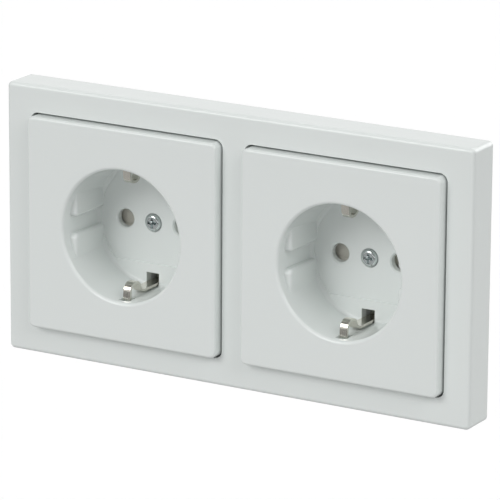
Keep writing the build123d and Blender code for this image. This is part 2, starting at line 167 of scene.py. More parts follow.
POCKET_Z = 20.8
POCKET_Y = (-12.1, -8.2)

# Shutter behind the pin holes, on a bush of the base
VANE_R = 3.3
VANE_RAMP = 1.1
ARM_HALF = 1.8
HUB_R = 4.6
BUSH_R = 2.9
BUSH_GAP = 0.08
SHUTTER_BED_R = 13.2

# Earth strap, whose bar has ends that are all but half round
STRIP = 0.8
STRAP_HALF = 1.85
CLIP_HALF = 1.2
CLIP_TAPER_Y = (-4.4, -1.4)
STRAP_PATH = ((-10.2, 19.6), (-9.8, 15.05), (-5.4, 15.05), (-4.4, 18.0), (9.4, 18.0))
STRAP_BENDS = (2.2, 2.2, 1.2, 1.4)
STRAP_BAR_HALF = (2.7, 12.0)
STRAP_BAR_CORNER = 2.65
EARTH_PLATE_HALF = 6.0
EARTH_FACE_Z = 17.6

# Ring with slots whose ends are all but half round, rivets, base and cover
RING = 35.3
RING_THICKNESS = 1.2
RING_CROP = 9.0
CUP_R = 21.7
BOX_SCREW = 30.0
BOX_SLOT_HALF = (3.3, 1.8)
BOX_SLOT_CORNER = 1.79
RIVET_AT = 17.466
RIVETS = [(x, z) for x in (-RIVET_AT, RIVET_AT) for z in (-RIVET_AT, RIVET_AT)]
RIVET_R = 1.45
RIVET_HEAD_R = 2.6
RIVET_HEAD_Y = -2.1
RIVET_END_Y = 5.0
RIVET_EDGE = 0.45
RIVET_GAP = 0.05
BASE = 23.2
BASE_CORNER = 9.0
BASE_EDGE = 0.8
CHAMBER_X = (5.7, 20.5)
CHAMBER_HALF = 6.5
CHANNEL_HALF = 2.8
CHANNEL_Z = 18.4
EARTH_CHAMBER_Z = -11.1

# Terminals, measured from the face of the contact's bar
CONTACT_FACE_X = 14.0
JAW_Z = 2.75
JAW_X = (6.6, 13.6)
JAW_Y = (9.6, 19.6)
JAW_BEND = 1.0
BAR_HALF = 6.0
CLAMP = 0.5
CLAMP_PATH = ((6.25, 23.0), (6.25, 12.2), (0.6, 20.0))
CLAMP_BEND = 1.0
CLAMP_SLIT = (-1.0, 4.25, 1.0)
BUTTON_U = (2.6, 5.0)
BUTTON_HALF = 2.5
BUTTON_Y = (18.2, 27.4)
BUTTON_NOSE = (3.4, 20.2)
COLLAR_Y = (22.4, 23.7)
COLLAR = 0.6
BUTTON_GAP = 0.2
WIRE_U = 1.2
WIRE_W = 4.6
WIRE_R = 1.6
NUT_HALF = 2.7
NUT_Y = (9.8, 12.2)

# Camera, as fitted to the photograph
CAMERA_PLACE = (580.361, -998.672, 323.801)
CAMERA_TURN = (74.2512, -0.349, 30.2963)
CAMERA_LENS = 304.98
CAMERA_SENSOR = 36.0
CAMERA_NEAR = 50.0

# Length of the floor's side
FLOOR_SIDE = 30000.0

# Soft lights: degrees to the right of the front, degrees above the floor, and the light's share
LIGHTS = {
    "front_light": (-24, 31, 0.452),
    "right_light": (70, 38, 0.31),
    "low_right_light": (92, 12, 0.03),
    "rear_light": (180, 55, 0.29),
    "low_rear_light": (160, 18, 0.30),
    "low_left_rear_light": (215, 15, 0.05),
}

# Sky: height from straight down to straight up as 0 to 1, and brightness there
SKY_STOPS = ((0.37, 1.1), (0.40, 0.12), (0.45, 0.12), (0.465, 2.4), (0.535, 2.4), (0.56, 0.6))


class SocketFinishSettings(bpy.types.PropertyGroup):
    """Colours and edge softness of the socket's pieces."""

    plastic: bpy.props.FloatVectorProperty(
        name="Plastic", description="Moulded frame and centre plates", subtype="COLOR",
        size=3, min=0, max=1, default=(0.83, 0.867, 0.852))
    base_plastic: bpy.props.FloatVectorProperty(
        name="Base Plastic", description="Insulating base and rear cover", subtype="COLOR",
        size=3, min=0, max=1, default=(0.55, 0.575, 0.575))
    button_plastic: bpy.props.FloatVectorProperty(
        name="Button Plastic", description="Release buttons behind the socket", subtype="COLOR",
        size=3, min=0, max=1, default=(0.08, 0.09, 0.10))
    shutter_plastic: bpy.props.FloatVectorProperty(
        name="Shutter Plastic", description="Shutters behind the pin holes", subtype="COLOR",
        size=3, min=0, max=1, default=(0.67, 0.655, 0.585))
    steel: bpy.props.FloatVectorProperty(
        name="Zinc Plated Steel", description="Support ring, rivets and nut", subtype="COLOR",
        size=3, min=0, max=1, default=(0.68, 0.69, 0.70))
    spring_steel: bpy.props.FloatVectorProperty(
        name="Spring Steel", description="Clamping springs", subtype="COLOR",
        size=3, min=0, max=1, default=(0.565, 0.565, 0.575))
    screw_plating: bpy.props.FloatVectorProperty(
        name="Screw Plating", description="Centre screws", subtype="COLOR",
        size=3, min=0, max=1, default=(0.70, 0.745, 0.745))
    nickel: bpy.props.FloatVectorProperty(
        name="Nickel", description="Plating of the earth straps", subtype="COLOR",
        size=3, min=0, max=1, default=(0.75, 0.73, 0.66))
    brass: bpy.props.FloatVectorProperty(
        name="Brass", description="Pin contacts", subtype="COLOR",
        size=3, min=0, max=1, default=(0.745, 0.52, 0.225))
    moulded_edge: bpy.props.FloatProperty(
        name="Moulded Edge", description="Rounding of a moulded edge", unit="LENGTH",
        min=0.00002, max=0.001, default=0.00018)
    metal_edge: bpy.props.FloatProperty(
        name="Metal Edge", description="Rounding of a stamped edge", unit="LENGTH",
        min=0.00001, max=0.0005, default=0.00008)


class SocketStageSettings(bpy.types.PropertyGroup):
    """Floor and lights around the socket."""

    floor_drop: bpy.props.FloatProperty(
        name="Floor Drop", description="Height of the origin above the floor", unit="LENGTH",
        min=0.04, max=1.0, default=0.25)
    floor: bpy.props.FloatVectorProperty(
        name="Floor", description="Colour of the floor", subtype="COLOR",
        size=3, min=0, max=1, default=(0.98, 0.98, 0.98))
    floor_glow: bpy.props.FloatProperty(
        name="Floor Glow", description="Light of the floor itself, which keeps it white in the picture",
        min=0, max=1, default=0.08)
    sky: bpy.props.FloatProperty(
        name="Sky", description="Strength of the light from all round", min=0, max=5, default=0.425)
    strength: bpy.props.FloatProperty(
        name="Strength", description="Strength of all soft lights together", min=0, max=20, default=2.78)
    spread: bpy.props.FloatProperty(
        name="Spread", description="How wide each soft light looks", subtype="ANGLE",
        min=0, max=pi, default=radians(35))


class Flow:
    """A shader socket whose operators add Math nodes."""

    def __init__(self, shading, socket):
        self.shading = shading
        self.socket = socket

    def math(self, operation, first, second):
        return self.shading.node("ShaderNodeMath", {"operation": operation}, {0: first, 1: second})

    def __add__(self, other):
        return self.math("ADD", self, other)

    def __radd__(self, other):
        return self.math("ADD", other, self)

    def __sub__(self, other):
        return self.math("SUBTRACT", self, other)

    def __rsub__(self, other):
        return self.math("SUBTRACT", other, self)

    def __mul__(self, other):
        return self.math("MULTIPLY", self, other)

    def __rmul__(self, other):
        return self.math("MULTIPLY", other, self)


class Shading:
    """A node tree, whose nodes are added through node()."""

    def __init__(self, owner, shader):
        owner.use_nodes = True
        self.tree = owner.node_tree
        self.shader = self.tree.nodes[shader]

    def node(self, kind, settings=None, inputs=None, output=0):
        """Adds a node: its settings first, a ramp's stops among them, then its sockets' values or links."""
        node = self.tree.nodes.new(kind)
        for name, value in (settings or {}).items():
            if name == "stops":
                self.set_stops(node.color_ramp.elements, value)
            else:
                setattr(node, name, value)
        for name, value in (inputs or {}).items():
            self.feed(node.inputs[name], value)
        return Flow(self, node.outputs[output])

    def set_stops(self, elements, stops):
        """Grey levels along a ramp, each with its place."""
        while len(elements) < len(stops):
            elements.new(0.5)
        for element, (place, level) in zip(elements, stops):
            element.position = place
            element.color = (level, level, level, 1)

    def feed(self, socket, value):
        if isinstance(value, Flow):
            self.tree.links.new(value.socket, socket)
        else:
            socket.default_value = value

    def set(self, **sockets):
        """Values or links of the shader's own sockets, with _ for each space in a name."""
        for name, value in sockets.items():
            self.feed(self.shader.inputs[name.replace("_", " ")], value)


class Finish(Shading):
    """One material."""

    def __init__(self, name):
        self.material = bpy.data.materials.new(name)
        super().__init__(self.material, "Principled BSDF")

    def place(self, scale):
        """The piece's own coordinates, stretched by scale."""
        coordinates = self.node("ShaderNodeTexCoord", output="Object")
        inputs = {"Vector": coordinates, "Scale": scale}
        return self.node("ShaderNodeMapping", {"vector_type": "POINT"}, inputs)

    def noise(self, scale, detail=3.0, stretch=(1, 1, 1)):
        """Cloudy noise from 0 to 1, with scale features to the metre."""
        inputs = {
            "Vector": self.place(stretch), "Scale": scale, "Detail": detail, "Roughness": NOISE_ROUGHNESS}
        return self.node("ShaderNodeTexNoise", None, inputs)

    def blend(self, factor, first, second):
        """A colour between two others."""
        inputs = {"Factor": factor, 6: (*first, 1), 7: (*second, 1)}
        return self.node("ShaderNodeMix", {"data_type": "RGBA"}, inputs, output=2)

    def bump(self, height, distance):
        """Raises the surface by height times a distance in metres."""
        inputs = {"Height": height, "Distance": distance, "Strength": 1.0}
        self.set(Normal=self.node("ShaderNodeBump", None, inputs))


def shade(colour, factor):
    """A colour made lighter or darker."""
    return tuple(min(1.0, channel * factor) for channel in colour)


def moulded_plastic(name, colour, gloss):
    """Polished moulding: an even colour, a faint flow pattern and a skin that is not quite flat."""
    finish = Finish(name)
    cloud = finish.noise(28, detail=2)
    grain = finish.noise(2600, detail=2)
    waves = finish.noise(420, detail=1)
    finish.set(
        Base_Color=finish.blend(cloud, shade(colour, 0.985), shade(colour, 1.012)),
        Roughness=gloss + 0.06 * cloud + 0.04 * grain,
    )
    finish.bump(0.25 * grain + waves, distance=0.000012)
    return finish.material


def base_plastic(name, colour):
    """Filled thermoset: matt, with pale and dark specks of filler."""
    finish = Finish(name)
    cloud = finish.noise(90, detail=3)
    specks = finish.noise(1900, detail=1)
    dark = finish.node("ShaderNodeClamp", None, {"Value": (specks - 0.62) * 9})
    finish.set(
        Base_Color=finish.blend(dark, shade(colour, 1.04), shade(colour, 0.72)),
        Roughness=0.5 + 0.16 * cloud,
    )
    finish.bump(specks + 0.6 * cloud, distance=0.00003)
    return finish.material


def brushed_metal(name, colour, roughness, grain, stain=0.82):
    """Rolled or plated metal: fine lines along the grain and soft clouds of tarnish."""
    finish = Finish(name)
    lines = finish.noise(900, detail=2, stretch=grain)
    cloud = finish.noise(160, detail=3)
    finish.set(
        Base_Color=finish.blend(cloud, shade(colour, stain), shade(colour, 1.06)),
        Metallic=1.0,
        Roughness=roughness + 0.16 * (lines - 0.5) + 0.10 * (cloud - 0.5),
    )
    finish.bump(lines, distance=0.000006)
    return finish.material


def make_finishes(settings):
    """Every material of the socket, by the record's slot."""
    even = (1, 1, 1)
    along_z = (4, 1, 0.06)
    along_y = (4, 0.06, 1)
    return {
        "white_plastic": moulded_plastic("polished_white_plastic", settings.plastic, gloss=0.17),
        "grey_plastic": base_plastic("filled_grey_plastic", settings.base_plastic),
        "button_plastic": moulded_plastic("dark_button_plastic", settings.button_plastic, gloss=0.34),
        "shutter_plastic": moulded_plastic("waxy_shutter_plastic", settings.shutter_plastic, gloss=0.36),
        "steel": brushed_metal(
            "zinc_plated_steel", settings.steel, roughness=0.36, grain=along_z),
        "spring_steel": brushed_metal(
            "rolled_spring_steel", settings.spring_steel, roughness=0.26, grain=along_y),
        "plated_screw": brushed_metal(
            "bright_screw_plating", settings.screw_plating, roughness=0.13, grain=even),
        "plated_brass": brushed_metal(
            "nickel_plating", settings.nickel, roughness=0.20, grain=along_z, stain=0.80),
        "brass": brushed_metal(
            "bare_rolled_brass", settings.brass, roughness=0.30, grain=along_y, stain=0.7),
    }


def activate(piece):
    """Makes a piece the only one selected."""
    bpy.ops.object.select_all(action="DESELECT")
    piece.select_set(True)
    bpy.context.view_layer.objects.active = piece


def block(low, high):
    """A cuboid between two corners."""
    bpy.ops.object.select_all(action="DESELECT")
    middle = [MM * (a + b) / 2 for a, b in zip(low, high)]
    sides = [MM * abs(b - a) for a, b in zip(low, high)]
    bpy.ops.mesh.primitive_cube_add(size=1, location=middle, scale=sides)
    bpy.ops.object.transform_apply(location=True, rotation=True, scale=True)
    return bpy.context.object


def drum(front_r, rear_r, front_y, rear_y, at=(0, 0), segments=ROUND):
    """A round solid along Y, which may taper, with its axis at X and Z."""
    bpy.ops.object.select_all(action="DESELECT")
    bpy.ops.mesh.primitive_cone_add(
        vertices=segments, radius1=MM * rear_r, radius2=MM * front_r, depth=MM * (rear_y - front_y),
        location=(MM * at[0], MM * (front_y + rear_y) / 2, MM * at[1]), rotation=(pi / 2, 0, 0))
    bpy.ops.object.transform_apply(location=True, rotation=True, scale=True)
    return bpy.context.object


def combine(piece, tool, operation):
    """Joins a tool to a piece or cuts it out, and removes the tool."""
    modifier = piece.modifiers.new("Combine", "BOOLEAN")
    modifier.operation = operation
    modifier.solver = "EXACT"
    modifier.object = tool
    activate(piece)
    bpy.ops.object.modifier_apply(modifier=modifier.name)
    bpy.data.objects.remove(tool)


def cut(piece, *tools):
    """Cuts tools out of a piece."""
    for tool in tools:
        combine(piece, tool, "DIFFERENCE")


def add(piece, *tools):
    """Joins tools to a piece."""
    for tool in tools:
        combine(piece, tool, "UNION")


def round_edges(piece, width, segments, chosen):
    """Rounds the edges whose two ends, in millimetres, chosen accepts."""
    activate(piece)
    bpy.ops.object.mode_set(mode="EDIT")
    bpy.ops.mesh.select_mode(type="EDGE")
    bpy.ops.mesh.select_all(action="DESELECT")
    bpy.ops.object.mode_set(mode="OBJECT")
    places = [vertex.co / MM for vertex in piece.data.vertices]
    for edge in piece.data.edges:
        first, second = edge.vertices
        edge.select = chosen(places[first], places[second])
    bpy.ops.object.mode_set(mode="EDIT")
    bpy.ops.mesh.bevel(offset=MM * width, segments=segments, profile=0.5, affect="EDGES")
    bpy.ops.object.mode_set(mode="OBJECT")


def near(value, target):
    """True for two measures that count as one."""
    return abs(value - target) < SLACK


def along_y(first, second):
    """True for an edge that runs straight into the wall."""
    return hypot(first.x - second.x, first.z - second.z) < TOUCH < abs(first.y - second.y)


def at_level(y):
    """Accepts the edges that lie at one depth."""
    return lambda first, second: near(first.y, y) and near(second.y, y)


def ring_edge(radius, y):
    """Accepts the edges of one circle around the well's axis."""
    def chosen(first, second):
        level = near(first.y, y) and near(second.y, y)
        return level and near(hypot(first.x, first.z), radius) and near(hypot(second.x, second.z), radius)
    return chosen


def slice_off(piece, place, normal):
    """Cuts a piece flat at a place and removes what the normal points to."""
    activate(piece)
    bpy.ops.object.mode_set(mode="EDIT")
    bpy.ops.mesh.select_all(action="SELECT")
    bpy.ops.mesh.bisect(plane_co=MM * Vector(place), plane_no=normal, use_fill=True, clear_outer=True)
    bpy.ops.object.mode_set(mode="OBJECT")


def rounded_block(low, high, corner, segments):
    """A cuboid whose edges along Y are rounded."""
    piece = block(low, high)
    round_edges(piece, corner, segments, along_y)
    return piece


def folded_strip(points, bends, across, thickness):
    """A strip of sheet metal: an edge that is drawn from point to point and rounded at each fold."""
    start = Vector(points[0])
    across = Vector(across)
    bpy.ops.object.select_all(action="DESELECT")
    bpy.ops.mesh.primitive_plane_add(size=MM)
    piece = bpy.context.object
    bpy.ops.object.mode_set(mode="EDIT")
    bpy.ops.mesh.select_mode(type="VERT")
    bpy.ops.mesh.select_all(action="SELECT")
    bpy.ops.mesh.merge(type="CENTER")
    bpy.ops.transform.translate(value=MM * (start - across / 2))
    bpy.ops.mesh.extrude_vertices_move(TRANSFORM_OT_translate={"value": MM * across})
    bpy.ops.mesh.select_mode(type="EDGE")
    bpy.ops.mesh.select_all(action="SELECT")
    for here, there in zip(points, points[1:]):
        step = MM * (Vector(there) - Vector(here))
        bpy.ops.mesh.extrude_edges_move(TRANSFORM_OT_translate={"value": step})
    bpy.ops.object.mode_set(mode="OBJECT")
    for index, bend in enumerate(bends, start=1):
        fold = Vector(points[index])
        turn = (fold - Vector(points[index - 1])).angle(Vector(points[index + 1]) - fold)
        round_edges(piece, bend * tan(turn / 2), FOLD_BEVEL, at_fold(fold, across))
    wall = piece.modifiers.new("Wall", "SOLIDIFY")
    wall.thickness = MM * thickness
    wall.offset = 0
    wall.use_even_offset = True
    activate(piece)
    bpy.ops.object.modifier_apply(modifier=wall.name)
    bpy.ops.object.mode_set(mode="EDIT")
    bpy.ops.mesh.select_all(action="SELECT")
    bpy.ops.mesh.normals_make_consistent(inside=False)
    bpy.ops.object.mode_set(mode="OBJECT")
    return piece


def at_fold(fold, across):
    """Accepts the edge that lies across the strip at one fold."""
    ends = (fold - across / 2, fold + across / 2)

    def chosen(first, second):
        straight = (first - ends[0]).length + (second - ends[1]).length
        crossed = (first - ends[1]).length + (second - ends[0]).length
        return min(straight, crossed) < SLACK
    return chosen


def soften(piece, edge, segments=2):
    """Rounds what is still sharp, then shades curved faces smooth and flat faces flat."""
    activate(piece)
    bpy.ops.object.mode_set(mode="EDIT")
    bpy.ops.mesh.select_all(action="SELECT")
    bpy.ops.mesh.remove_doubles(threshold=MERGE * MM)
    bpy.ops.mesh.dissolve_degenerate(threshold=SLIVER * MM)
    bpy.ops.object.mode_set(mode="OBJECT")
    bevel = piece.modifiers.new("Edges", "BEVEL")
    bevel.width = edge
    bevel.segments = segments
    bevel.limit_method = "ANGLE"
    bevel.angle_limit = radians(CREASE)
    bpy.ops.object.modifier_apply(modifier=bevel.name)
    bpy.ops.object.shade_smooth_by_angle(angle=radians(SMOOTH))
    normals = piece.modifiers.new("Normals", "WEIGHTED_NORMAL")
    normals.keep_sharp = True
    normals.weight = FACE_WEIGHT
    bpy.ops.object.modifier_apply(modifier=normals.name)


def turned(piece, matrix):
    """A copy of a piece with its own mesh, moved by a matrix."""
    copy = piece.copy()
    copy.data = piece.data.copy()
    bpy.context.collection.objects.link(copy)
    copy.data.transform(matrix)
    return copy


def settle(piece, node, body, slot):
    """Names a finished piece, gives it its material and lets it stand for its solid."""
    piece.name = node + "_dressed"
    piece.data.name = piece.name
    piece.data.materials.clear()
    piece.data.materials.append(FINISHES[slot])
    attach(piece, body)
    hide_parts(node)


def settle_gangs(piece, kind, slot, moves=False):
    """Copies a piece that was modelled on the middle line to both gangs."""
    for gang, gang_x in GANGS.items():
        copy = turned(piece, Matrix.Translation((MM * gang_x, 0, 0)))
        node = gang + "_" + kind
        settle(copy, node, node if moves else SOCKET_BODY, slot)
    bpy.data.objects.remove(piece)


def terminal_matrix(turn_deg, reach):
    """From a terminal's own axes, out from its bar along X, to its place in the insert."""
    return Matrix.Rotation(radians(turn_deg), 4, "Y") @ Matrix.Translation((MM * reach, 0, 0))


TERMINALS = {
    "line": terminal_matrix(POLES["line"], CONTACT_FACE_X),
    "neutral": terminal_matrix(POLES["neutral"], CONTACT_FACE_X),
    "earth": terminal_matrix(EARTH_TURN, -EARTH_FACE_Z),
}


class SOCKET_OT_frame(bpy.types.Operator):
    """Model the moulded frame around both openings"""

    bl_idname = "socket.frame"
    bl_label = "Frame"

    def execute(self, context):
        half_x, half_z = FRAME_HALF
        hollow_y = FRAME_Y + FRAME_FRONT
        piece = rounded_block((-half_x, FRAME_Y, -half_z), (half_x, 0, half_z), FRAME_CORNER, BEVEL)
        round_edges(piece, FRAME_EDGE, FINE_BEVEL, at_level(FRAME_Y))
        inner_x = half_x - FRAME_WALL
        inner_z = half_z - FRAME_WALL
        cut(piece, block((-inner_x, hollow_y, -inner_z), (inner_x, PAST, inner_z)))
        corner = OPENING_CORNER + SLEEVE - OPENING
        for x in GANGS.values():
            add(piece, rounded_block(
                (x - SLEEVE, hollow_y - PAST, -SLEEVE), (x + SLEEVE, LEDGE_REAR_Y, SLEEVE),
                corner, FINE_BEVEL))
            for rib_x in (x - STIFFENER_X, x + STIFFENER_X):
                for side in (-1, 1):
                    add(piece, block(
                        (rib_x - STIFFENER, hollow_y - PAST, side * (SLEEVE - PAST)),
                        (rib_x + STIFFENER, STIFFENER_REAR_Y, side * (inner_z + PAST))))
        for x in GANGS.values():
            cut(piece, rounded_block(
                (x - OPENING, FRAME_Y - PAST, -OPENING), (x + OPENING, SEAT_Y, OPENING),
                OPENING_CORNER, FINE_BEVEL))
            cut(piece, block(
                (x - LEDGE_OPENING, SEAT_Y - PAST, -LEDGE_OPENING), (x + LEDGE_OPENING, PAST, LEDGE_OPENING)))
        soften(piece, context.scene.socket_finish.moulded_edge)
        settle(piece, "frame", SOCKET_BODY, "white_plastic")
        return {"FINISHED"}


class SOCKET_OT_centre_plates(bpy.types.Operator):
    """Model the raised plates with their plug wells"""

    bl_idname = "socket.centre_plates"
    bl_label = "Centre Plates"

    def execute(self, context):
        piece = self.cap()
        cup_y = FACE_Y + PLATE_FRONT / 2
        add(piece, drum(MOUTH_R + WELL_WALL, BOTTOM_R + WELL_WALL, cup_y, FLOOR_REAR_Y))
        round_edges(piece, WELL_FILLET, BEVEL, ring_edge(BOTTOM_R + WELL_WALL, FLOOR_REAR_Y))
        self.sink_well(piece)
        self.add_guides(piece)
        self.pierce_floor(piece)
        soften(piece, context.scene.socket_finish.moulded_edge)
        settle_gangs(piece, "centre_plate", "white_plastic")
        return {"FINISHED"}

    def cap(self):
        """The hollow square cap with its stiffening cross."""
        inner = PLATE - PLATE_WALL
        hollow_y = FACE_Y + PLATE_FRONT
        piece = rounded_block((-PLATE, FACE_Y, -PLATE), (PLATE, SEAT_Y, PLATE), PLATE_CORNER, BEVEL)
        round_edges(piece, PLATE_EDGE, FINE_BEVEL, at_level(FACE_Y))
        cut(piece, block((-inner, hollow_y, -inner), (inner, SEAT_Y + PAST, inner)))
        reach = inner + LAP
        root_y, web_y = hollow_y - LAP, hollow_y + WEB_DEPTH
        add(piece, block((-reach, root_y, -WEB), (reach, web_y, WEB)))
        add(piece, block((-WEB, root_y, -reach), (WEB, web_y, reach)))
        return piece

    def sink_well(self, piece):
        """The tapered well with its lip, its filleted floor and the sunk band across it."""
        slope = (MOUTH_R - BOTTOM_R) / (FLOOR_Y - FACE_Y)
        cut(piece, drum(MOUTH_R + slope * PAST, BOTTOM_R, FACE_Y - PAST, FLOOR_Y))
        round_edges(piece, WELL_LIP, FINE_BEVEL, ring_edge(MOUTH_R, FACE_Y))
        round_edges(piece, WELL_FILLET, FINE_BEVEL, ring_edge(BOTTOM_R, FLOOR_Y))
        band_r = BOTTOM_R - BAND_INSET
        band = drum(band_r, band_r, FLOOR_Y - PAST, BAND_Y)
        strip = block(
            (-BOTTOM_R, FLOOR_Y - 2 * PAST, -BAND_HALF), (BOTTOM_R, BAND_Y + PAST, BAND_HALF))
        combine(band, strip, "INTERSECT")
        cut(piece, band)

    def add_guides(self, piece):
        """The flat guides at both sides of the well, with a groove along the middle of each."""
        radius = BOTTOM_R + GUIDE_ROOT
        for side in (-1, 1):
            for half in (-1, 1):
                guide = block(
                    (side * GUIDE_X, GUIDE_FRONT_Y, half * GROOVE_HALF),
                    (side * MOUTH_R * 2, GUIDE_ROOT_Y, half * radius))
                round_edges(guide, GUIDE_CORNER, BEVEL, self.at_guide_corner)
                round_edges(guide, GUIDE_EDGE, BEVEL, self.on_guide_rim)
                combine(guide, drum(radius, radius, FACE_Y, GUIDE_ROOT_Y + PAST), "INTERSECT")
                add(piece, guide)

    def at_guide_corner(self, first, second):
        """Accepts the edge between a guide's front and its groove."""
        front = near(first.y, GUIDE_FRONT_Y) and near(second.y, GUIDE_FRONT_Y)
        return front and near(abs(first.z), GROOVE_HALF) and near(abs(second.z), GROOVE_HALF)

    def on_guide_rim(self, first, second):
        """Accepts the edges around a guide's flat, apart from those at the floor and in the wall."""
        flat = near(abs(first.x), GUIDE_X) and near(abs(second.x), GUIDE_X)
        middle = (first + second) / 2
        inside = abs(middle.z) < MOUTH_R and middle.y < BAND_Y - GUIDE_EDGE
        return flat and inside

    def pierce_floor(self, piece):
        """Pin holes with lead-ins, the screw's seat, the earth legs' slots and the clips' pockets."""
        behind = FLOOR_REAR_Y + PAST
        lead_r = PIN_R + PIN_LEAD + PAST
        for x in (-PIN_X, PIN_X):
            cut(piece, drum(PIN_R, PIN_R, FLOOR_Y, behind, (x, 0), SMALL_ROUND))
            cut(piece, drum(lead_r, PIN_R, BAND_Y - PAST, BAND_Y + PIN_LEAD, (x, 0), SMALL_ROUND))
        cut(piece, drum(SCREW_HOLE_R, SCREW_HOLE_R, FLOOR_Y, behind, segments=SMALL_ROUND))
        seat_r = SCREW_HEAD_R + SCREW_SEAT_GAP
        cut(piece, drum(seat_r, seat_r, FLOOR_Y, SCREW_SEAT_Y, segments=SMALL_ROUND))
        for side in (-1, 1):
            low, high = (side * z for z in EARTH_SLOT_Z)
            cut(piece, block((-EARTH_SLOT_HALF, FLOOR_Y - WELL_FILLET, low), (EARTH_SLOT_HALF, behind, high)))
            cut(piece, block(
                (-POCKET_HALF, POCKET_Y[0], side * (BOTTOM_R - 2 * PAST)),
                (POCKET_HALF, POCKET_Y[1], side * POCKET_Z)))


class SOCKET_OT_centre_screws(bpy.types.Operator):
    """Model the screws in the floors of the wells, with their nuts"""

    bl_idname = "socket.centre_screws"
    bl_label = "Centre Screws"

    def execute(self, context):
        edge = context.scene.socket_finish.metal_edge
        screw = self.screw()
        soften(screw, edge)
        settle_gangs(screw, "centre_screw", "plated_screw")
        nut = self.nut()
        soften(nut, edge)
        settle_gangs(nut, "screw_nut", "steel")
        return {"FINISHED"}

    def screw(self):
        """A rounded head with a cross recess, on a plain shank."""
        piece = drum(SCREW_HEAD_R, SCREW_HEAD_R, SCREW_HEAD_Y, SCREW_SEAT_Y, segments=SCREW_ROUND)
        round_edges(piece, SCREW_EDGE, BEVEL, ring_edge(SCREW_HEAD_R, SCREW_HEAD_Y))
        add(piece, drum(SCREW_R, SCREW_R, SCREW_SEAT_Y - LAP, SCREW_TIP_Y, segments=SMALL_ROUND))
        long, short = RECESS_HALF
        front, bottom = SCREW_HEAD_Y - PAST, SCREW_HEAD_Y + RECESS_DEPTH
        cross = block((-long, front, -short), (long, bottom, short))
        add(cross, block((-short, front, -long), (short, bottom, long)))
        core_r, tip_r = RECESS_CORE_R
        core_y = SCREW_HEAD_Y + RECESS_CORE_DEPTH
        add(cross, drum(core_r, tip_r, front, core_y, segments=SMALL_ROUND))
        cut(piece, cross)
        return piece

    def nut(self):
        """The square nut that the screw pulls on."""
        front, rear = NUT_Y
        bore = SCREW_R + THREAD_GAP
        piece = block((-NUT_HALF, front, -NUT_HALF), (NUT_HALF, rear, NUT_HALF))
        cut(piece, drum(bore, bore, front - PAST, rear + PAST, segments=SMALL_ROUND))
        return piece


class SOCKET_OT_shutters(bpy.types.Operator):
    """Model the shutters that close the pin holes from behind"""

    bl_idname = "socket.shutters"
    bl_label = "Shutters"

    def execute(self, context):
        front, rear = SHUTTER_Y
        piece = drum(HUB_R, HUB_R, front, rear, segments=SMALL_ROUND)
        add(piece, block((-PIN_X, front, -ARM_HALF), (PIN_X, rear, ARM_HALF)))
        for side in (-1, 1):
            add(piece, drum(VANE_R, VANE_R, front, rear, (side * PIN_X, 0), SMALL_ROUND))
        for side in (-1, 1):
            cut(piece, self.ramp(side))
        bore = BUSH_R + BUSH_GAP
        cut(piece, drum(bore, bore, front - PAST, rear + PAST, segments=SMALL_ROUND))
        soften(piece, context.scene.socket_finish.metal_edge)
        settle_gangs(piece, "shutter", "shutter_plastic", moves=True)
        return {"FINISHED"}

    def ramp(self, side):
        """Cutter for the slope that a plug's pin pushes aside."""
        front = SHUTTER_Y[0]
        x = side * PIN_X
        wedge = block((x - VANE_R, front - PAST, -VANE_R), (x + VANE_R, front + VANE_RAMP, VANE_R))
        slice_off(wedge, (x, front, side * VANE_R), (0, 2 * VANE_R, side * VANE_RAMP))
        return wedge


class SOCKET_OT_earth_straps(bpy.types.Operator):
    """Model the folded earth straps with the sprung clips in the wells"""

    bl_idname = "socket.earth_straps"
    bl_label = "Earth Straps"

    def execute(self, context):
        upper = [(0, y, z) for y, z in STRAP_PATH]
        lower = [(0, y, -z) for y, z in reversed(STRAP_PATH)]
        bends = STRAP_BENDS + STRAP_BENDS[::-1]
        piece = folded_strip(upper + lower, bends, (2 * STRAP_HALF, 0, 0), STRIP)
        for side in (-1, 1):
            self.narrow_clips(piece, side)
        half_x, half_z = STRAP_BAR_HALF
        bar_rear = CHAMBER_Y + STRIP
        add(piece, rounded_block(
            (-half_x, CHAMBER_Y, -half_z), (half_x, bar_rear, half_z), STRAP_BAR_CORNER, SLOT_BEVEL))
        cut(piece, drum(SCREW_HOLE_R, SCREW_HOLE_R, CHAMBER_Y - PAST, bar_rear + PAST, segments=SMALL_ROUND))
        add(piece, block(
            (-EARTH_PLATE_HALF, CHAMBER_Y, -EARTH_FACE_Z - STRIP),
            (EARTH_PLATE_HALF, BASE_REAR_Y, -EARTH_FACE_Z)))
        soften(piece, context.scene.socket_finish.metal_edge, segments=3)
        settle_gangs(piece, "earth_strap", "plated_brass")
        return {"FINISHED"}

    def narrow_clips(self, piece, side):
        """Cuts one edge of both clips back, with a taper out to the strap's full width."""
        knee_y, shoulder_y = CLIP_TAPER_Y
        edge_x = side * CLIP_HALF
        waste = block((edge_x, FACE_Y, -POCKET_Z), (side * 2 * STRAP_HALF, shoulder_y, POCKET_Z))
        slope = (side * (knee_y - shoulder_y), STRAP_HALF - CLIP_HALF, 0)
        slice_off(waste, (edge_x, knee_y, 0), slope)
        cut(piece, waste)


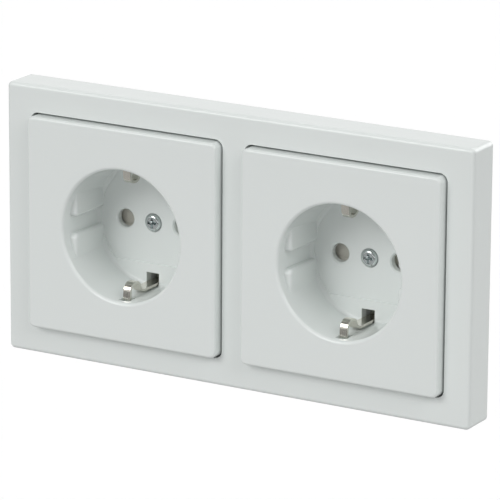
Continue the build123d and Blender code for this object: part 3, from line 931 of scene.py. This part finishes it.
class SOCKET_OT_support_rings(bpy.types.Operator):
    """Model the steel rings on the wall and their rivets"""

    bl_idname = "socket.support_rings"
    bl_label = "Support Rings"

    def execute(self, context):
        edge = context.scene.socket_finish.metal_edge
        ring = self.ring()
        soften(ring, edge)
        settle_gangs(ring, "support_ring", "steel")
        rivet = self.rivet()
        soften(rivet, edge)
        rivets = [turned(rivet, Matrix.Translation((MM * x, 0, MM * z))) for x, z in RIVETS]
        bpy.data.objects.remove(rivet)
        bpy.ops.object.select_all(action="DESELECT")
        for one in rivets:
            one.select_set(True)
        bpy.context.view_layer.objects.active = rivets[0]
        bpy.ops.object.join()
        settle_gangs(rivets[0], "ring_rivets", "steel")
        return {"FINISHED"}

    def ring(self):
        """A plate with cropped corners, the well's hole, slots for the box screws and rivet holes."""
        front = -RING_THICKNESS
        piece = rounded_block((-RING, front, -RING), (RING, 0, RING), RING_CROP, CHAMFER)
        cut(piece, drum(CUP_R, CUP_R, front - PAST, PAST))
        long, short = BOX_SLOT_HALF
        for x, z in ((BOX_SCREW, 0), (-BOX_SCREW, 0), (0, BOX_SCREW), (0, -BOX_SCREW)):
            cut(piece, rounded_block(
                (x - long, front - PAST, z - short), (x + long, PAST, z + short),
                BOX_SLOT_CORNER, SLOT_BEVEL))
        hole_r = RIVET_R + RIVET_GAP
        for place in RIVETS:
            cut(piece, drum(hole_r, hole_r, front - PAST, PAST, place, SMALL_ROUND))
        return piece

    def rivet(self):
        """A round head on the ring's front, with a shank into the base."""
        front = -RING_THICKNESS
        piece = drum(RIVET_HEAD_R, RIVET_HEAD_R, RIVET_HEAD_Y, front, segments=SMALL_ROUND)
        round_edges(piece, RIVET_EDGE, SMALL_BEVEL, ring_edge(RIVET_HEAD_R, RIVET_HEAD_Y))
        add(piece, drum(RIVET_R, RIVET_R, front - LAP, RIVET_END_Y, segments=SMALL_ROUND))
        return piece


class SOCKET_OT_bases(bpy.types.Operator):
    """Model the insulating bases and their rear covers"""

    bl_idname = "socket.bases"
    bl_label = "Bases"

    def execute(self, context):
        edge = context.scene.socket_finish.moulded_edge
        base = self.base()
        soften(base, edge)
        settle_gangs(base, "base", "grey_plastic")
        cover = self.cover()
        soften(cover, edge)
        settle_gangs(cover, "rear_cover", "grey_plastic")
        return {"FINISHED"}

    def base(self):
        """A block with a cup for the well, a bed for the shutter and chambers for the metalwork."""
        piece = rounded_block((-BASE, 0, -BASE), (BASE, BASE_REAR_Y, BASE), BASE_CORNER, BROAD_BEVEL)
        cut(piece, drum(CUP_R, CUP_R, -PAST, FLOOR_REAR_Y))
        bed = drum(SHUTTER_BED_R, SHUTTER_BED_R, 0, SHUTTER_BED_Y)
        cut(bed, drum(BUSH_R, BUSH_R, -PAST, SHUTTER_BED_Y + PAST, segments=SMALL_ROUND))
        cut(piece, bed)
        behind = BASE_REAR_Y + PAST
        inside = CHAMBER_Y + PAST
        for side in (-1, 1):
            low, high = (side * x for x in CHAMBER_X)
            cut(piece, block((low, CHAMBER_Y, -CHAMBER_HALF), (high, behind, CHAMBER_HALF)))
            cut(piece, drum(PIN_GUIDE_R, PIN_GUIDE_R, 0, inside, (side * PIN_X, 0), SMALL_ROUND))
            low, high = (side * z for z in EARTH_SLOT_Z)
            cut(piece, block((-EARTH_SLOT_HALF, 0, low), (EARTH_SLOT_HALF, inside, high)))
        cut(piece, block((-CHANNEL_HALF, CHAMBER_Y, -CHANNEL_Z), (CHANNEL_HALF, behind, CHANNEL_Z)))
        cut(piece, block((-CHAMBER_HALF, CHAMBER_Y, -CHANNEL_Z), (CHAMBER_HALF, behind, EARTH_CHAMBER_Z)))
        cut(piece, drum(SCREW_HOLE_R, SCREW_HOLE_R, 0, inside, segments=SMALL_ROUND))
        hole_r = RIVET_R + RIVET_GAP
        for place in RIVETS:
            cut(piece, drum(hole_r, hole_r, -PAST, RIVET_END_Y, place, SMALL_ROUND))
        return piece

    def cover(self):
        """A plate with a rounded rim and the openings of all three terminals."""
        piece = rounded_block(
            (-BASE, BASE_REAR_Y, -BASE), (BASE, COVER_REAR_Y, BASE), BASE_CORNER, BROAD_BEVEL)
        round_edges(piece, BASE_EDGE, SMALL_BEVEL, at_level(COVER_REAR_Y))
        for matrix in TERMINALS.values():
            for opening in self.openings():
                opening.data.transform(matrix)
                cut(piece, opening)
        return piece

    def openings(self):
        """Cutters for one terminal: the button's window and two wire entries."""
        low, high = BUTTON_U
        half = BUTTON_HALF + BUTTON_GAP
        front, behind = BASE_REAR_Y - PAST, COVER_REAR_Y + PAST
        yield block((low - BUTTON_GAP, front, -half), (high + BUTTON_GAP, behind, half))
        for w in (-WIRE_W, WIRE_W):
            yield drum(WIRE_R, WIRE_R, front, behind, (WIRE_U, w), SMALL_ROUND)


class SOCKET_OT_terminals(bpy.types.Operator):
    """Model the pin contacts, clamping springs and release buttons"""

    bl_idname = "socket.terminals"
    bl_label = "Terminals"

    def execute(self, context):
        finish = context.scene.socket_finish
        contact = self.contact()
        soften(contact, finish.metal_edge)
        for name, turn in POLES.items():
            pole = turned(contact, Matrix.Rotation(radians(turn), 4, "Y"))
            settle_gangs(pole, name + "_contact", "brass")
        bpy.data.objects.remove(contact)
        clamp = self.clamp()
        soften(clamp, finish.metal_edge)
        button = self.button()
        soften(button, finish.moulded_edge)
        for gang, gang_x in GANGS.items():
            for name, matrix in TERMINALS.items():
                place = Matrix.Translation((MM * gang_x, 0, 0)) @ matrix
                self.settle_clamp(turned(clamp, place), gang + "_" + name)
                release = gang + "_" + name + "_release"
                settle(turned(button, place), release, release, "button_plastic")
        bpy.data.objects.remove(clamp)
        bpy.data.objects.remove(button)
        return {"FINISHED"}

    def contact(self):
        """Two jaws folded from one strip, on the flat bar of the terminal."""
        near_x, far_x = JAW_X
        front, rear = JAW_Y
        middle = (front + rear) / 2
        upper = [(near_x, middle, JAW_Z), (far_x, middle, JAW_Z)]
        lower = [(far_x, middle, -JAW_Z), (near_x, middle, -JAW_Z)]
        piece = folded_strip(upper + lower, (JAW_BEND, JAW_BEND), (0, rear - front, 0), STRIP)
        add(piece, block(
            (CONTACT_FACE_X - STRIP, CHAMBER_Y, -BAR_HALF), (CONTACT_FACE_X, BASE_REAR_Y, BAR_HALF)))
        return piece

    def clamp(self):
        """A folded leaf spring, slit into two leaves."""
        path = [(u, y, 0) for u, y in CLAMP_PATH]
        piece = folded_strip(path, (CLAMP_BEND,), (0, 0, 2 * BAR_HALF), CLAMP)
        low, high, half = CLAMP_SLIT
        cut(piece, block((low, CLAMP_PATH[1][1], -half), (high, BASE_REAR_Y, half)))
        return piece

    def button(self):
        """A push button with a sloped nose and a collar behind its window."""
        low, high = BUTTON_U
        front, rear = BUTTON_Y
        piece = block((low, front, -BUTTON_HALF), (high, rear, BUTTON_HALF))
        nose_u, nose_y = BUTTON_NOSE
        slice_off(piece, (nose_u, front, 0), (nose_y - front, nose_u - high, 0))
        half = BUTTON_HALF + COLLAR
        add(piece, block((low - COLLAR, COLLAR_Y[0], -half), (high + COLLAR, COLLAR_Y[1], half)))
        return piece

    def settle_clamp(self, piece, terminal):
        """Settles a clamping spring in the socket and gives it a mesh of its own."""
        settle(piece, terminal + "_clamp", SOCKET_BODY, "spring_steel")
        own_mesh(piece)


class SOCKET_OT_stage(bpy.types.Operator):
    """Set the floor, the lights and the camera"""

    bl_idname = "socket.stage"
    bl_label = "Stage"

    def execute(self, context):
        settings = context.scene.socket_stage
        self.floor(settings)
        self.sky(context, settings)
        for name, (azimuth, elevation, share) in LIGHTS.items():
            self.soft_light(name, settings, radians(azimuth), radians(elevation), share)
        self.camera(context)
        context.scene.view_settings.view_transform = "Standard"
        return {"FINISHED"}

    def floor(self, settings):
        """A wide white floor below the socket, which throws no light on it."""
        bpy.ops.object.select_all(action="DESELECT")
        bpy.ops.mesh.primitive_plane_add(size=MM * FLOOR_SIDE, location=(0, 0, -settings.floor_drop))
        bpy.ops.object.transform_apply(location=True, rotation=True, scale=True)
        floor = bpy.context.object
        floor.name = "floor"
        finish = Finish("pale_floor")
        finish.set(
            Base_Color=(*settings.floor, 1), Roughness=0.9,
            Emission_Color=(1, 1, 1, 1), Emission_Strength=settings.floor_glow)
        floor.data.materials.append(finish.material)
        floor.visible_diffuse = False
        floor.visible_glossy = False

    def sky(self, context, settings):
        """Light from all round: a ceiling, a white horizon, a dim strip below it and a bright ground."""
        world = bpy.data.worlds.new("studio")
        sky = Shading(world, "Background")
        direction = sky.node("ShaderNodeTexCoord", output="Generated")
        height = sky.node("ShaderNodeSeparateXYZ", None, {0: direction}, output="Z")
        level = sky.node("ShaderNodeValToRGB", {"stops": SKY_STOPS}, {0: 0.5 + 0.5 * height})
        sky.set(Color=level, Strength=settings.sky)
        context.scene.world = world

    def soft_light(self, name, settings, azimuth, elevation, share):
        """A wide, even light that shines on the socket from one side."""
        bpy.ops.object.select_all(action="DESELECT")
        turn = (pi / 2 - elevation, 0, azimuth)
        place = Matrix.Rotation(azimuth, 3, "Z") @ Vector((0, -cos(elevation), sin(elevation)))
        bpy.ops.object.light_add(type="SUN", location=place, rotation=turn)
        light = bpy.context.object
        light.name = name
        light.data.energy = settings.strength * share
        light.data.angle = settings.spread

    def camera(self, context):
        """The camera at the place that was fitted to the photograph."""
        turn = [radians(angle) for angle in CAMERA_TURN]
        bpy.ops.object.camera_add(location=MM * Vector(CAMERA_PLACE), rotation=turn)
        camera = context.object
        camera.name = "camera"
        camera.data.lens = CAMERA_LENS
        camera.data.sensor_width = CAMERA_SENSOR
        camera.data.clip_start = MM * CAMERA_NEAR
        context.scene.camera = camera


PIECES = (
    SOCKET_OT_frame,
    SOCKET_OT_centre_plates,
    SOCKET_OT_centre_screws,
    SOCKET_OT_shutters,
    SOCKET_OT_earth_straps,
    SOCKET_OT_support_rings,
    SOCKET_OT_bases,
    SOCKET_OT_terminals,
    SOCKET_OT_stage,
)


class SOCKET_PT_panel(bpy.types.Panel):
    """Buttons for every piece of the socket"""

    bl_idname = "SOCKET_PT_panel"
    bl_label = "Double Wall Socket"
    bl_space_type = "VIEW_3D"
    bl_region_type = "UI"
    bl_category = "Socket"

    def draw(self, context):
        for settings in (context.scene.socket_finish, context.scene.socket_stage):
            for name in settings.__annotations__:
                self.layout.prop(settings, name)
        for operator in PIECES:
            self.layout.operator(operator.bl_idname)


CLASSES = (SocketFinishSettings, SocketStageSettings, *PIECES, SOCKET_PT_panel)


def register():
    for cls in CLASSES:
        bpy.utils.register_class(cls)
    bpy.types.Scene.socket_finish = bpy.props.PointerProperty(type=SocketFinishSettings)
    bpy.types.Scene.socket_stage = bpy.props.PointerProperty(type=SocketStageSettings)


def unregister():
    del bpy.types.Scene.socket_stage
    del bpy.types.Scene.socket_finish
    for cls in reversed(CLASSES):
        bpy.utils.unregister_class(cls)


def main():
    register()
    FINISHES.update(make_finishes(bpy.context.scene.socket_finish))
    bpy.ops.socket.frame()
    bpy.ops.socket.centre_plates()
    bpy.ops.socket.centre_screws()
    bpy.ops.socket.shutters()
    bpy.ops.socket.earth_straps()
    bpy.ops.socket.support_rings()
    bpy.ops.socket.bases()
    bpy.ops.socket.terminals()
    bpy.ops.socket.stage()


if __name__ == "__main__":
    main()
